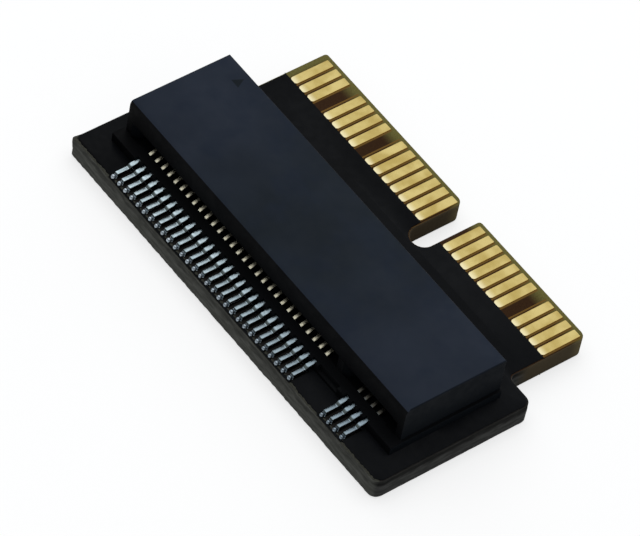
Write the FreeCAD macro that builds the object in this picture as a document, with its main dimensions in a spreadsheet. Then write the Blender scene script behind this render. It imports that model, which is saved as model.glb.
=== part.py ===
import FreeCAD, Part
import math
import os

import Sketcher

# NVMe adapter card: a T-shaped circuit board with an M.2 (M-key) socket on its upper face
# and gold edge fingers on its tongue.
#
# Frame: origin at the middle of the underside. +X runs along the board's long side, towards
# the key rib. +Y runs from the socket's mouth to the finger edge, +Z up. Millimetres.

doc = FreeCAD.newDocument("nvme_adapter_card")
sheet = doc.addObject("Spreadsheet::Sheet", "sizes")


# ---------------------------------------------------------------- sizes

class Size:
    """A length with the sheet formula that drives it, so that each is written once."""

    def __init__(self, value, formula):
        self.value = value
        self.formula = formula

    def __add__(self, other):
        other = as_size(other)
        return Size(self.value + other.value, f"({self.formula} + {other.formula})")

    def __sub__(self, other):
        other = as_size(other)
        return Size(self.value - other.value, f"({self.formula} - {other.formula})")

    def __mul__(self, factor):
        return Size(self.value * factor, f"({self.formula} * {factor})")

    def __truediv__(self, divisor):
        return Size(self.value / divisor, f"({self.formula} / {divisor})")

    def __neg__(self):
        return Size(-self.value, f"(0 - {self.formula})")


def as_size(number):
    return number if isinstance(number, Size) else Size(float(number), f"{number}")


def cell(name, value):
    """Store one driving dimension in the sheet and return it as a Size."""
    row = cell.next_row
    cell.next_row += 1
    sheet.set(f"A{row}", name)
    sheet.set(f"B{row}", f"{value}")
    sheet.setAlias(f"B{row}", name)
    return Size(float(value), f"sizes.{name}")


cell.next_row = 1

# Board
board_width = cell("board_width", 24.0)
board_depth = cell("board_depth", 13.8)
laminate_thickness = cell("laminate_thickness", 1.17)
mask_thickness = cell("mask_thickness", 0.04)
copper_thickness = cell("copper_thickness", 0.035)
body_corner_radius = cell("body_corner_radius", 0.5)
tongue_width = cell("tongue_width", 20.4)
tongue_length = cell("tongue_length", 4.65)
tongue_corner_radius = cell("tongue_corner_radius", 0.3)
bevel = cell("bevel", 0.05)
key_slot_offset = cell("key_slot_offset", 1.38)
key_slot_width = cell("key_slot_width", 1.3)
key_slot_depth = cell("key_slot_depth", 3.6)

# Edge fingers
finger_pitch = cell("finger_pitch", 0.66)
finger_width = cell("finger_width", 0.5)
finger_length = cell("finger_length", 2.32)
finger_setback = cell("finger_setback", 0.23)
finger_corner = cell("finger_corner", 0.14)
first_finger_offset = cell("first_finger_offset", -9.56)
second_bank_offset = cell("second_bank_offset", 2.52)

# Contacts of the socket
contact_pitch = cell("contact_pitch", 0.5)
contact_width = cell("contact_width", 0.22)
contact_thickness = cell("contact_thickness", 0.16)
front_wide_offset = cell("front_wide_offset", -9.0)
front_narrow_offset = cell("front_narrow_offset", 7.5)
toe_inset = cell("toe_inset", 0.37)
foot_length = cell("foot_length", 0.66)
solder_film = cell("solder_film", 0.055)
shoulder_height = cell("shoulder_height", 0.39)
riser_run = cell("riser_run", 0.22)
knee_reach = cell("knee_reach", 0.62)
knee_height = cell("knee_height", 0.56)
crown_reach = cell("crown_reach", 1.84)
crown_height = cell("crown_height", 0.7)
crown_overlap = cell("crown_overlap", 0.12)
beam_root = cell("beam_root", 2.04)
tip_run = cell("tip_run", 0.36)
tip_turn = cell("tip_turn", 0.24)
leg_bend = cell("leg_bend", 0.18)

# Pads
pad_width = cell("pad_width", 0.28)
pad_margin = cell("pad_margin", 0.28)
window_margin = cell("window_margin", 0.04)
toe_bead_length = cell("toe_bead_length", 0.28)
toe_bead_height = cell("toe_bead_height", 0.11)

# Socket moulding
base_width = cell("base_width", 21.9)
block_width = cell("block_width", 21.6)
jaw_setback = cell("jaw_setback", 1.5)
jaw_reach = cell("jaw_reach", 0.68)
jaw_height = cell("jaw_height", 0.5)
lip_width = cell("lip_width", 0.72)
notch_depth = cell("notch_depth", 0.2)
lip_roof = cell("lip_roof", 0.07)
block_depth = cell("block_depth", 5.82)
block_height = cell("block_height", 2.6)
edge_chamfer = cell("edge_chamfer", 0.05)
front_rounding = cell("front_rounding", 0.26)
mouth_width = cell("mouth_width", 20.1)
mouth_depth = cell("mouth_depth", 5.17)
mouth_floor = cell("mouth_floor", 0.28)
mouth_height = cell("mouth_height", 1.04)
lead_in_width = cell("lead_in_width", 0.35)
lead_in_depth = cell("lead_in_depth", 0.7)
lead_in_bend = cell("lead_in_bend", 0.12)
key_rib_offset = cell("key_rib_offset", 6.125)
key_rib_width = cell("key_rib_width", 0.95)
key_rib_nose = cell("key_rib_nose", 0.28)
key_recess_width = cell("key_recess_width", 1.5)
key_recess_depth = cell("key_recess_depth", 0.35)
comb_clearance = cell("comb_clearance", 0.03)
channel_depth = cell("channel_depth", 0.18)
cavity_height = cell("cavity_height", 0.3)
groove_height = cell("groove_height", 0.29)
cavity_wall = cell("cavity_wall", 0.67)
peg_offset = cell("peg_offset", 10.05)
peg_setback = cell("peg_setback", 3.02)
small_peg_diameter = cell("small_peg_diameter", 1.1)
large_peg_diameter = cell("large_peg_diameter", 1.6)
peg_length = cell("peg_length", 1.0)
peg_clearance = cell("peg_clearance", 0.05)

# Hold-down nails
nail_thickness = cell("nail_thickness", 0.2)
nail_width = cell("nail_width", 1.4)
nail_height = cell("nail_height", 1.5)
nail_foot = cell("nail_foot", 0.8)
nail_inset = cell("nail_inset", 0.45)
nail_setback = cell("nail_setback", 4.72)
nail_clearance = cell("nail_clearance", 0.04)
nail_margin = cell("nail_margin", 0.14)

# A fillet of this share of a slot's width rounds its end to all but a half circle.
ROUND_END = 0.49
# The middle of a quarter round lies this share of its radius from either face.
ROUND_STEP = 0.293

# Counts of like pieces along X
FINGER_GROUPS = [("a", "first", 0, 3), ("b", "first", 4, 4), ("c", "first", 9, 7),
                 ("d", "second", 0, 7), ("e", "second", 8, 4)]
FRONT_WIDE_COUNT = 29
FRONT_NARROW_COUNT = 4
REAR_WIDE_COUNT = 29
REAR_NARROW_COUNT = 5

# Levels and lines that several pieces share
laminate_bottom = mask_thickness
laminate_top = mask_thickness + laminate_thickness
board_top = laminate_top + mask_thickness
pad_top = laminate_top + copper_thickness
foot_bottom = pad_top + solder_film
near_edge = -board_depth / 2
far_edge = board_depth / 2
step_line = far_edge - tongue_length
finger_end = far_edge - finger_setback
mask_edge = finger_end - finger_length
jaw_front = near_edge + jaw_setback
lip_back = jaw_front + lip_width
block_front = jaw_front + jaw_reach
block_back = block_front + block_depth
mouth_back = block_front + mouth_depth
floor_level = board_top + mouth_floor
ceiling_level = floor_level + mouth_height
jaw_top = board_top + jaw_height
block_top = board_top + block_height
cavity_top = ceiling_level + cavity_height
comb_width = contact_width + comb_clearance * 2
row_shift = contact_pitch / 2
rear_wide_offset = front_wide_offset - row_shift
rear_narrow_offset = front_narrow_offset - row_shift
front_pad_start = near_edge + toe_inset - pad_margin
front_pad_length = foot_length + pad_margin * 2
rear_leg = block_back - contact_thickness
rear_toe = rear_leg + leg_bend + foot_length
rear_pad_start = rear_toe + pad_margin - front_pad_length
doc.recompute()


# ---------------------------------------------------------------- helpers

def new_body(label):
    body = doc.addObject("PartDesign::Body", label)
    body.Label = label
    return body


def origin_feature(body, role):
    return next(item for item in body.Origin.OriginFeatures if item.Role == role)


def bind(item, prop, size):
    """Set a property from a Size and bind it to the sheet."""
    item.setExpression(prop, as_size(size).formula)


def sketch_on(body, role, name, offset=None):
    """An empty sketch on one of the body's own origin planes, moved along its normal."""
    sketch = body.newObject("Sketcher::SketchObject", f"{body.Label}_{name}")
    sketch.AttachmentSupport = [(origin_feature(body, role), "")]
    sketch.MapMode = "FlatFace"
    if offset is not None:
        sketch.AttachmentOffset.Base.z = offset.value
        bind(sketch, "AttachmentOffset.Base.z", offset)
    return sketch


def add_loop(sketch, corners):
    """A closed outline of straight sides through (across, up) corners given as Sizes."""
    corners = [(as_size(across), as_size(up)) for across, up in corners]
    first = len(sketch.Geometry)
    points = [FreeCAD.Vector(across.value, up.value, 0) for across, up in corners]
    count = len(points)
    for index in range(count):
        sketch.addGeometry(Part.LineSegment(points[index], points[(index + 1) % count]))
    for index in range(count):
        following = first + (index + 1) % count
        sketch.addConstraint(Sketcher.Constraint("Coincident", first + index, 2, following, 1))
    for index, (across, up) in enumerate(corners):
        for axis, size in (("X", across), ("Y", up)):
            kind = f"Distance{axis}"
            number = sketch.addConstraint(Sketcher.Constraint(kind, first + index, 1, size.value))
            name = f"{axis.lower()}{first + index}"
            sketch.renameConstraint(number, name)
            bind(sketch, f"Constraints.{name}", size)


def add_circle(sketch, across, up, diameter):
    """A circle whose centre and diameter follow the sheet."""
    circle = Part.Circle(FreeCAD.Vector(across.value, up.value, 0), FreeCAD.Vector(0, 0, 1),
                         diameter.value / 2)
    number = sketch.addGeometry(circle)
    for kind, size, name in (("DistanceX", across, "cx"), ("DistanceY", up, "cy")):
        constraint = sketch.addConstraint(Sketcher.Constraint(kind, number, 3, size.value))
        sketch.renameConstraint(constraint, f"{name}{number}")
        bind(sketch, f"Constraints.{name}{number}", size)
    constraint = sketch.addConstraint(Sketcher.Constraint("Diameter", number, diameter.value))
    sketch.renameConstraint(constraint, f"diameter{number}")
    bind(sketch, f"Constraints.diameter{number}", diameter)


def rectangle(left, right, near, far):
    return [(left, near), (right, near), (right, far), (left, far)]


def extrude(kind, sketch, length, side="One side", back=False):
    """A Pad or Pocket of a sketch."""
    body = sketch.getParentGeoFeatureGroup()
    feature = body.newObject(f"PartDesign::{kind}", f"{sketch.Name}_{kind.lower()}")
    feature.Profile = sketch
    feature.SideType = side
    feature.Reversed = back
    feature.Length = length.value
    bind(feature, "Length", length)
    doc.recompute()
    return feature


def repeat(feature, pitch, count):
    """Copies of a feature in a row along +X."""
    body = feature.getParentGeoFeatureGroup()
    pattern = body.newObject("PartDesign::LinearPattern", f"{feature.Name}_row")
    pattern.Originals = [feature]
    pattern.Direction = (origin_feature(body, "X_Axis"), [""])
    pattern.Mode = "Spacing"
    bind(pattern, "Offset", pitch)
    pattern.Occurrences = count
    body.Tip = pattern
    doc.recompute()
    return pattern


def upright_edges(feature, places):
    """Names of the vertical edges that stand at the given (x, y) places."""
    names = []
    for number, edge in enumerate(feature.Shape.Edges, start=1):
        if not isinstance(edge.Curve, Part.Line) or abs(edge.Curve.Direction.z) < 0.99:
            continue
        middle = edge.CenterOfMass
        for across, up in places:
            if math.hypot(middle.x - as_size(across).value, middle.y - as_size(up).value) < 0.01:
                names.append(f"Edge{number}")
    return names


def round_off(feature, places, radius, kind="Fillet"):
    """Fillets or chamfers on the upright edges at the given places."""
    body = feature.getParentGeoFeatureGroup()
    dressed = body.newObject(f"PartDesign::{kind}", f"{feature.Name}_{kind.lower()}")
    dressed.Base = (feature, upright_edges(feature, places))
    bind(dressed, "Radius" if kind == "Fillet" else "Size", radius)
    doc.recompute()
    return dressed


# ---------------------------------------------------------------- circuit board

def board_outline():
    """The T outline with its key slot, anticlockwise from the near left corner."""
    side = board_width / 2
    tongue_side = tongue_width / 2
    slot_left = key_slot_offset - key_slot_width / 2
    slot_right = key_slot_offset + key_slot_width / 2
    slot_end = far_edge - key_slot_depth
    return {
        "body": [(-side, near_edge), (side, near_edge), (side, step_line), (-side, step_line)],
        "inner": [(tongue_side, step_line), (-tongue_side, step_line)],
        "tongue": [(tongue_side, far_edge), (slot_right, far_edge),
                   (slot_left, far_edge), (-tongue_side, far_edge)],
        "slot": [(slot_right, slot_end), (slot_left, slot_end)],
    }


def outline_loop(outline, far=None):
    """The corners in order. With far given, the tongue is cut off straight at that line."""
    near_left, near_right, step_right, step_left = outline["body"]
    inner_right, inner_left = outline["inner"]
    loop = [near_left, near_right, step_right, inner_right]
    line = far if far is not None else far_edge
    loop.append((inner_right[0], line))
    slot_right, slot_left = outline["slot"]
    loop += [(slot_right[0], line), slot_right, slot_left, (slot_left[0], line)]
    loop += [(inner_left[0], line), inner_left, step_left]
    return loop


def build_circuit_board():
    body = new_body("circuit_board")
    outline = board_outline()
    sketch = sketch_on(body, "XY_Plane", "outline", laminate_bottom)
    add_loop(sketch, outline_loop(outline))
    slab = extrude("Pad", sketch, laminate_thickness)
    slab = round_off(slab, outline["body"], body_corner_radius)
    slab = round_off(slab, outline["tongue"] + outline["inner"], tongue_corner_radius)
    slab = round_off(slab, outline["slot"], key_slot_width * ROUND_END)

    # Bevel: wedges taken off both faces along the tongue's outer edge.
    wedge = sketch_on(body, "YZ_Plane", "bevel")
    overshoot = bevel
    for face, inward in ((laminate_top, -bevel), (laminate_bottom, bevel)):
        outward = -inward
        add_loop(wedge, [(far_edge - bevel - overshoot, face + outward),
                         (far_edge + overshoot, face + outward),
                         (far_edge + overshoot, face + inward * 2)])
    extrude("Pocket", wedge, board_width, "Symmetric")

    # Holes that take the moulding's two locating pegs.
    holes = sketch_on(body, "XY_Plane", "peg_holes", laminate_top)
    for across, diameter in peg_places():
        add_circle(holes, across, peg_line(), diameter + peg_clearance * 2)
    extrude("Pocket", holes, laminate_thickness)


def peg_places():
    return [(-peg_offset, small_peg_diameter), (peg_offset, large_peg_diameter)]


def peg_line():
    return block_front + peg_setback


def row_ends(first, count):
    """The first and last contact planes of a row."""
    return first, first + contact_pitch * (count - 1)


def nail_line():
    return block_front + nail_setback


def nail_pad(side):
    """Left, right, near and far sides of a hold-down's pad; side is -1 or +1."""
    outer = base_width / 2 - nail_inset + nail_margin
    inner = base_width / 2 - nail_inset - nail_foot - nail_margin
    reach = nail_width / 2 + nail_margin
    left, right = (inner, outer) if side > 0 else (-outer, -inner)
    return left, right, nail_line() - reach, nail_line() + reach


def build_mask(label, level, windows):
    """One lacquer film with the board's outline, cut off straight where the fingers start."""
    body = new_body(label)
    outline = board_outline()
    sketch = sketch_on(body, "XY_Plane", "outline", level)
    add_loop(sketch, outline_loop(outline, mask_edge))
    film = extrude("Pad", sketch, mask_thickness)
    film = round_off(film, outline["body"], body_corner_radius)
    film = round_off(film, outline["inner"], tongue_corner_radius)
    round_off(film, outline["slot"], key_slot_width * ROUND_END)

    cutouts = sketch_on(body, "XY_Plane", "cutouts", level + mask_thickness)
    for window in windows:
        add_loop(cutouts, rectangle(*window))
    for across, diameter in peg_places():
        add_circle(cutouts, across, peg_line(), diameter + peg_clearance * 2)
    extrude("Pocket", cutouts, mask_thickness)


def pad_window(first, count, start):
    """The opening in the mask around one row of pads."""
    low, high = row_ends(first, count)
    side = pad_width / 2 + window_margin
    return low - side, high + side, start - window_margin, start + front_pad_length + window_margin


def build_masks():
    windows = [pad_window(front_wide_offset, FRONT_WIDE_COUNT, front_pad_start),
               pad_window(front_narrow_offset, FRONT_NARROW_COUNT, front_pad_start),
               pad_window(rear_wide_offset, REAR_WIDE_COUNT, rear_pad_start),
               pad_window(rear_narrow_offset, REAR_NARROW_COUNT, rear_pad_start),
               nail_pad(-1), nail_pad(1)]
    build_mask("solder_mask_top", laminate_top, windows)
    build_mask("solder_mask_bottom", as_size(0), [])


# ---------------------------------------------------------------- gold fingers and pads

def build_fingers(face, level):
    """Five groups of fingers, each a plate with clipped inner corners repeated at the pitch."""
    starts = {"first": first_finger_offset, "second": second_bank_offset}
    for letter, bank, position, count in FINGER_GROUPS:
        middle = starts[bank] + finger_pitch * position
        left = middle - finger_width / 2
        right = middle + finger_width / 2
        body = new_body(f"fingers_{face}_{letter}")
        sketch = sketch_on(body, "XY_Plane", "plate", level)
        add_loop(sketch, [(left + finger_corner, mask_edge), (right - finger_corner, mask_edge),
                          (right, mask_edge + finger_corner), (right, finger_end),
                          (left, finger_end), (left, mask_edge + finger_corner)])
        plate = extrude("Pad", sketch, copper_thickness)
        repeat(plate, finger_pitch, count)


def build_row(label, runs, corners, width):
    """A node of like prisms along X. Each run is (first plane, count). The corners give the
    side view in (y, z), and each prism is centred on its plane."""
    body = new_body(label)
    for number, (first, count) in enumerate(runs):
        sketch = sketch_on(body, "YZ_Plane", f"side_{number}", first)
        add_loop(sketch, corners)
        prism = extrude("Pad", sketch, width, "Symmetric")
        repeat(prism, contact_pitch, count)


def pad_profile(start):
    return rectangle(start, start + front_pad_length, laminate_top, pad_top)


def build_pads():
    build_row("front_pads", FRONT_RUNS, pad_profile(front_pad_start), pad_width)
    build_row("rear_pads", REAR_RUNS, pad_profile(rear_pad_start), pad_width)


FRONT_RUNS = [(front_wide_offset, FRONT_WIDE_COUNT), (front_narrow_offset, FRONT_NARROW_COUNT)]
REAR_RUNS = [(rear_wide_offset, REAR_WIDE_COUNT), (rear_narrow_offset, REAR_NARROW_COUNT)]


# ---------------------------------------------------------------- contacts

def strip_outline(path, thickness):
    """The outline of a strip bent along a path: each corner is moved out to both sides along
    its mitre. The mitres are found from the path's numbers and kept as shares of the
    thickness, so the outline follows the sheet."""
    numbers = [(across.value, up.value) for across, up in path]
    normals = []
    for (y0, z0), (y1, z1) in zip(numbers, numbers[1:]):
        length = math.hypot(y1 - y0, z1 - z0)
        normals.append((-(z1 - z0) / length, (y1 - y0) / length))
    upper, lower = [], []
    for index, (across, up) in enumerate(path):
        before = normals[max(index - 1, 0)]
        after = normals[min(index, len(normals) - 1)]
        total = (before[0] + after[0], before[1] + after[1])
        reach = total[0] * before[0] + total[1] * before[1]
        shift = (round(total[0] / reach / 2, 4), round(total[1] / reach / 2, 4))
        upper.append((across + thickness * shift[0], up + thickness * shift[1]))
        lower.append((across - thickness * shift[0], up - thickness * shift[1]))
    return upper + lower[::-1]


def front_path():
    """Lower row: foot, riser, shoulder that runs on under the lip, beam, crown, tip."""
    half = contact_thickness / 2
    foot = foot_bottom + half
    toe = near_edge + toe_inset
    heel = toe + foot_length
    shoulder = board_top + shoulder_height - half
    crown_place = block_front + crown_reach
    crown = board_top + crown_height
    return [(toe, foot), (heel, foot), (heel + riser_run, shoulder), (lip_back, shoulder),
            (block_front + knee_reach, board_top + knee_height),
            (crown_place, crown), (crown_place + tip_run, crown - tip_turn)]


def rear_path():
    """Upper row: foot, leg up the back face, beam forward through the cavity, crown, tip."""
    half = contact_thickness / 2
    foot = foot_bottom + half
    beam = cavity_top - comb_clearance - half
    crown_place = block_front + crown_reach
    crown = ceiling_level - crown_overlap
    return [(rear_toe, foot), (rear_leg + leg_bend, foot), (rear_leg, foot + leg_bend),
            (rear_leg, beam - contact_thickness), (rear_leg - contact_thickness, beam),
            (mouth_back - beam_root, beam),
            (crown_place, crown), (crown_place - tip_run, crown + tip_turn)]


def build_contacts():
    for row, runs, path in (("front", FRONT_RUNS, front_path()), ("rear", REAR_RUNS, rear_path())):
        outline = strip_outline(path, contact_thickness)
        for group, run in zip(("wide", "narrow"), runs):
            build_row(f"{row}_contacts_{group}", [run], outline, contact_width)


def build_solder():
    """A bead against each toe and a film under each foot, as one profile."""
    def profile(toe, outward):
        bead = toe_bead_length * outward
        crest = foot_bottom + toe_bead_height
        end = toe - foot_length * outward
        return [(toe + bead, pad_top), (toe + bead / 2, crest), (toe, crest),
                (toe, foot_bottom), (end, foot_bottom), (end, pad_top)]

    front = profile(near_edge + toe_inset, -1)
    rear = profile(rear_toe, 1)
    build_row("front_solder", FRONT_RUNS, front, contact_width)
    build_row("rear_solder", REAR_RUNS, rear, contact_width)


# ---------------------------------------------------------------- socket moulding

def build_housing():
    body = new_body("socket_housing")
    base_side = base_width / 2
    block_side = block_width / 2
    mouth_side = mouth_width / 2

    # Lower jaw and floor of the moulding.
    base = sketch_on(body, "XY_Plane", "base", board_top)
    add_loop(base, rectangle(-base_side, base_side, jaw_front, block_back))
    extrude("Pad", base, jaw_height)

    # Tall block. Its front top edge is rounded in two steps and its back one is chamfered.
    step = front_rounding * ROUND_STEP
    block = sketch_on(body, "YZ_Plane", "block")
    add_loop(block, [(block_front, board_top), (block_back, board_top),
                     (block_back, block_top - edge_chamfer), (block_back - edge_chamfer, block_top),
                     (block_front + front_rounding, block_top),
                     (block_front + step, block_top - step),
                     (block_front, block_top - front_rounding)])
    extrude("Pad", block, block_width, "Symmetric")

    # Chamfers of the two end faces' top edges.
    ends = sketch_on(body, "XZ_Plane", "end_chamfers", -block_back)
    for side in (1, -1):
        add_loop(ends, [((block_side + edge_chamfer) * side, block_top - edge_chamfer * 2),
                        ((block_side + edge_chamfer) * side, block_top + edge_chamfer),
                        ((block_side - edge_chamfer * 2) * side, block_top + edge_chamfer)])
    extrude("Pocket", ends, block_depth, back=True)

    # Mouth: the slot for the drive's edge, with a chamfered upper lip.
    mouth = sketch_on(body, "YZ_Plane", "mouth")
    add_loop(mouth, [(lip_back, floor_level), (mouth_back, floor_level),
                     (mouth_back, ceiling_level), (block_front + edge_chamfer, ceiling_level),
                     (block_front - edge_chamfer, ceiling_level + edge_chamfer * 2),
                     (block_front - edge_chamfer, jaw_top), (lip_back, jaw_top)])
    extrude("Pocket", mouth, mouth_width, "Symmetric")

    # Lead-ins: the mouth's ends flare towards the front.
    flare = sketch_on(body, "XY_Plane", "lead_in", ceiling_level)
    outer = mouth_side + lead_in_width
    mouth_start = block_front - edge_chamfer
    for side in (1, -1):
        corners = [(mouth_side - lead_in_width, mouth_start), (outer, mouth_start),
                   (outer, block_front),
                   (mouth_side + lead_in_bend, block_front + lead_in_depth / 2),
                   (mouth_side, block_front + lead_in_depth),
                   (mouth_side - lead_in_width, block_front + lead_in_depth)]
        add_loop(flare, [(across * side, up) for across, up in corners])
    extrude("Pocket", flare, mouth_height)

    # Key rib: a post with a clipped nose that fills the drive's notch from floor to ceiling.
    rib_left = key_rib_offset - key_rib_width / 2
    rib_right = key_rib_offset + key_rib_width / 2
    rib = sketch_on(body, "XY_Plane", "key_rib", floor_level)
    add_loop(rib, [(rib_left, mouth_back), (rib_left, block_front + key_rib_nose),
                   (rib_left + key_rib_nose, block_front), (rib_right - key_rib_nose, block_front),
                   (rib_right, block_front + key_rib_nose), (rib_right, mouth_back)])
    extrude("Pad", rib, mouth_height)

    # The jaw is cut back in front of the key, where there are no contacts.
    recess = sketch_on(body, "XY_Plane", "key_recess", jaw_top)
    add_loop(recess, rectangle(key_rib_offset - key_recess_width / 2,
                               key_rib_offset + key_recess_width / 2,
                               jaw_front - edge_chamfer, jaw_front + notch_depth))
    extrude("Pocket", recess, key_recess_depth)

    cut_front_combs(body)
    cut_rear_combs(body)
    cut_nail_slots(body)

    # Locating pegs.
    pegs = sketch_on(body, "XY_Plane", "pegs", board_top)
    for across, diameter in peg_places():
        add_circle(pegs, across, peg_line(), diameter)
    extrude("Pad", pegs, peg_length, back=True)


def cut_front_combs(body):
    """Slots of the lower row: open notch, passage under the lip, channel in the floor."""
    notch_end = jaw_front + notch_depth
    passage_top = jaw_top - lip_roof
    channel_floor = floor_level - channel_depth
    channel_end = block_front + crown_reach + tip_run + tip_turn
    below = board_top - comb_clearance
    for number, (first, count) in enumerate(FRONT_RUNS):
        comb = sketch_on(body, "YZ_Plane", f"front_comb_{number}", first)
        add_loop(comb, [(jaw_front - comb_clearance, below),
                        (lip_back + contact_thickness, below),
                        (lip_back + contact_thickness, channel_floor),
                        (channel_end, channel_floor), (channel_end, passage_top),
                        (lip_back, passage_top), (notch_end, passage_top),
                        (notch_end, jaw_top + comb_clearance),
                        (jaw_front - comb_clearance, jaw_top + comb_clearance)])
        slot = extrude("Pocket", comb, comb_width, "Symmetric")
        repeat(slot, contact_pitch, count)


def cut_rear_combs(body):
    """Slots of the upper row: groove up the back face and cavity above the mouth's ceiling."""
    below = board_top - comb_clearance
    groove = rear_leg - contact_thickness / 2 - comb_clearance
    cavity_front = block_front + cavity_wall
    for number, (first, count) in enumerate(REAR_RUNS):
        comb = sketch_on(body, "YZ_Plane", f"rear_comb_{number}", first)
        add_loop(comb, [(groove, below), (block_back + comb_clearance, below),
                        (block_back + comb_clearance, cavity_top), (cavity_front, cavity_top),
                        (cavity_front, ceiling_level - comb_clearance),
                        (mouth_back, ceiling_level - comb_clearance),
                        (mouth_back, cavity_top - groove_height),
                        (groove, cavity_top - groove_height)])
        slot = extrude("Pocket", comb, comb_width, "Symmetric")
        repeat(slot, contact_pitch, count)


def cut_nail_slots(body):
    """Blind slots from below for the hold-down blades, and recesses for their feet."""
    outer = base_width / 2 - nail_inset + nail_clearance
    blade_inner = base_width / 2 - nail_inset - nail_thickness - nail_clearance
    foot_inner = base_width / 2 - nail_inset - nail_foot - nail_clearance
    near = nail_line() - nail_width / 2 - nail_clearance
    far = nail_line() + nail_width / 2 + nail_clearance
    for name, inner, height in (("blade", blade_inner, nail_height + nail_clearance),
                                ("foot", foot_inner, nail_thickness + nail_clearance)):
        slots = sketch_on(body, "XY_Plane", f"nail_{name}", board_top)
        for side in (1, -1):
            add_loop(slots, rectangle(inner * side, outer * side, near, far))
        extrude("Pocket", slots, height + solder_film, back=True)


# ---------------------------------------------------------------- hold-down nails

def build_nails():
    """An L of sheet metal at each end: a foot on the board and a blade up into the moulding."""
    outer = base_width / 2 - nail_inset
    level = foot_bottom
    for label, side in (("hold_down_left", -1), ("hold_down_right", 1)):
        body = new_body(label)
        sketch = sketch_on(body, "XZ_Plane", "bend", -nail_line())
        corners = [(outer, level), (outer, level + nail_height),
                   (outer - nail_thickness, level + nail_height),
                   (outer - nail_thickness, level + nail_thickness),
                   (outer - nail_foot, level + nail_thickness), (outer - nail_foot, level)]
        add_loop(sketch, [(across * side, up) for across, up in corners])
        extrude("Pad", sketch, nail_width, "Symmetric")

    for label, low, thickness, margin in (("hold_down_pads", laminate_top, copper_thickness, 0),
                                          ("hold_down_solder", pad_top, solder_film, 1)):
        body = new_body(label)
        sketch = sketch_on(body, "XY_Plane", "plates", low)
        for side in (-1, 1):
            left, right, near, far = nail_pad(side)
            inset = pad_margin * margin
            add_loop(sketch, rectangle(left + inset, right - inset, near + inset, far - inset))
        extrude("Pad", sketch, thickness)


# ---------------------------------------------------------------- build and write

build_circuit_board()
build_masks()
build_fingers("top", laminate_top)
build_fingers("bottom", laminate_bottom - copper_thickness)
build_pads()
build_solder()
build_contacts()
build_housing()
build_nails()
doc.recompute()

for item in doc.Objects:
    for state in ("Invalid", "Error"):
        if state in item.State:
            raise RuntimeError(f"{item.Name} is {state}")

os.makedirs("parts", exist_ok=True)
for body in doc.findObjects("PartDesign::Body"):
    shape = body.Shape
    if shape.isNull() or not shape.isValid():
        raise RuntimeError(f"{body.Label} has no valid shape")
    box = shape.BoundBox
    print(f"{body.Label}: {len(shape.Solids)} solids, volume {shape.Volume:.4f}, "
          f"x {box.XMin:.2f}..{box.XMax:.2f} y {box.YMin:.2f}..{box.YMax:.2f} "
          f"z {box.ZMin:.3f}..{box.ZMax:.3f}")
    shape.exportStep(f"parts/{body.Label}.step")
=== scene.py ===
# %% [markdown]
# # A black and gold drive adapter card
#
# This notebook dresses a small server part for a close-up: a T-shaped circuit board that
# carries a low card-edge socket, with gold fingers on its tongue. The solids come from a CAD
# model, at their real size. Blender adds what a press, a router, a solder oven and a plating
# bath leave behind: rounded bends, solder domes, a rubbed edge, lacquer, grain and shine.
#
# We begin with the fixed frame. Each CAD node arrives as a mesh object at the origin, so every
# new piece is placed by numbers read from it.

# %% Load the CAD frame
import math

import bmesh
import bpy
import numpy as np
from mathutils import Matrix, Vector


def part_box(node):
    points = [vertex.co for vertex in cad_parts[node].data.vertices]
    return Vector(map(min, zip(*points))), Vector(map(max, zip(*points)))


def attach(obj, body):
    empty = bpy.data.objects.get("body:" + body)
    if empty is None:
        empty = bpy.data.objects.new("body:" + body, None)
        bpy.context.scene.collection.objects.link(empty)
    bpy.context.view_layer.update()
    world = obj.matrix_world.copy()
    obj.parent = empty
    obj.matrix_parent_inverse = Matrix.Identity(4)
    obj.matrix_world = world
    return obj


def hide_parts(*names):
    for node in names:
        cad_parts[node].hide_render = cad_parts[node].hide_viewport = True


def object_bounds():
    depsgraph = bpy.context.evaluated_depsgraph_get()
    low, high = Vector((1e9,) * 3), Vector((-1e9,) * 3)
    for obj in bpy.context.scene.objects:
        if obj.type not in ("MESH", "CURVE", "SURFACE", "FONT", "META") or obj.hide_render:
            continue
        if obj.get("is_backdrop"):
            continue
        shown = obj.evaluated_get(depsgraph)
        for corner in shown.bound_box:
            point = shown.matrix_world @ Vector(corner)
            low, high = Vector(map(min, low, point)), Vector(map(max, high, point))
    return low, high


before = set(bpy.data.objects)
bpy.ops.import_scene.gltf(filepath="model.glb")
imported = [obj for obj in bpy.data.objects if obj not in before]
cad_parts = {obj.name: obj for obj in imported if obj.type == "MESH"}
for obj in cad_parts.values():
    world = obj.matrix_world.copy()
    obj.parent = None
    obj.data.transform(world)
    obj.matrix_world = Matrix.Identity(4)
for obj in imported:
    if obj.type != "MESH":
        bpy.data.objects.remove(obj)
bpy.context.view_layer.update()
MM = 0.001

# %% [markdown]
# ## Reading places from the frame
#
# The boxes of a few nodes give the levels and lines that the pieces share: the top of the
# board, the front of the socket's lower jaw, the middle of the first contact, and so on. A
# second copy of a number can drift away from the first, so only sizes that no box shows are
# written here by name.

# %% Levels and lines
housing_low, housing_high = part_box("socket_housing")
board_low, board_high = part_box("circuit_board")
mask_low, mask_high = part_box("solder_mask_top")
under_low, under_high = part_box("solder_mask_bottom")
wide_low, wide_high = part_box("front_contacts_wide")
narrow_low, narrow_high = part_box("front_contacts_narrow")
rear_low, rear_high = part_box("rear_contacts_wide")
rear_narrow_low, rear_narrow_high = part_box("rear_contacts_narrow")
pad_low, pad_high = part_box("front_pads")
rear_pad_low, rear_pad_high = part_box("rear_pads")
nail_low, nail_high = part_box("hold_down_pads")
finger_low, finger_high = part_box("fingers_top_a")
bank_low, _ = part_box("fingers_top_d")

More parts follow.
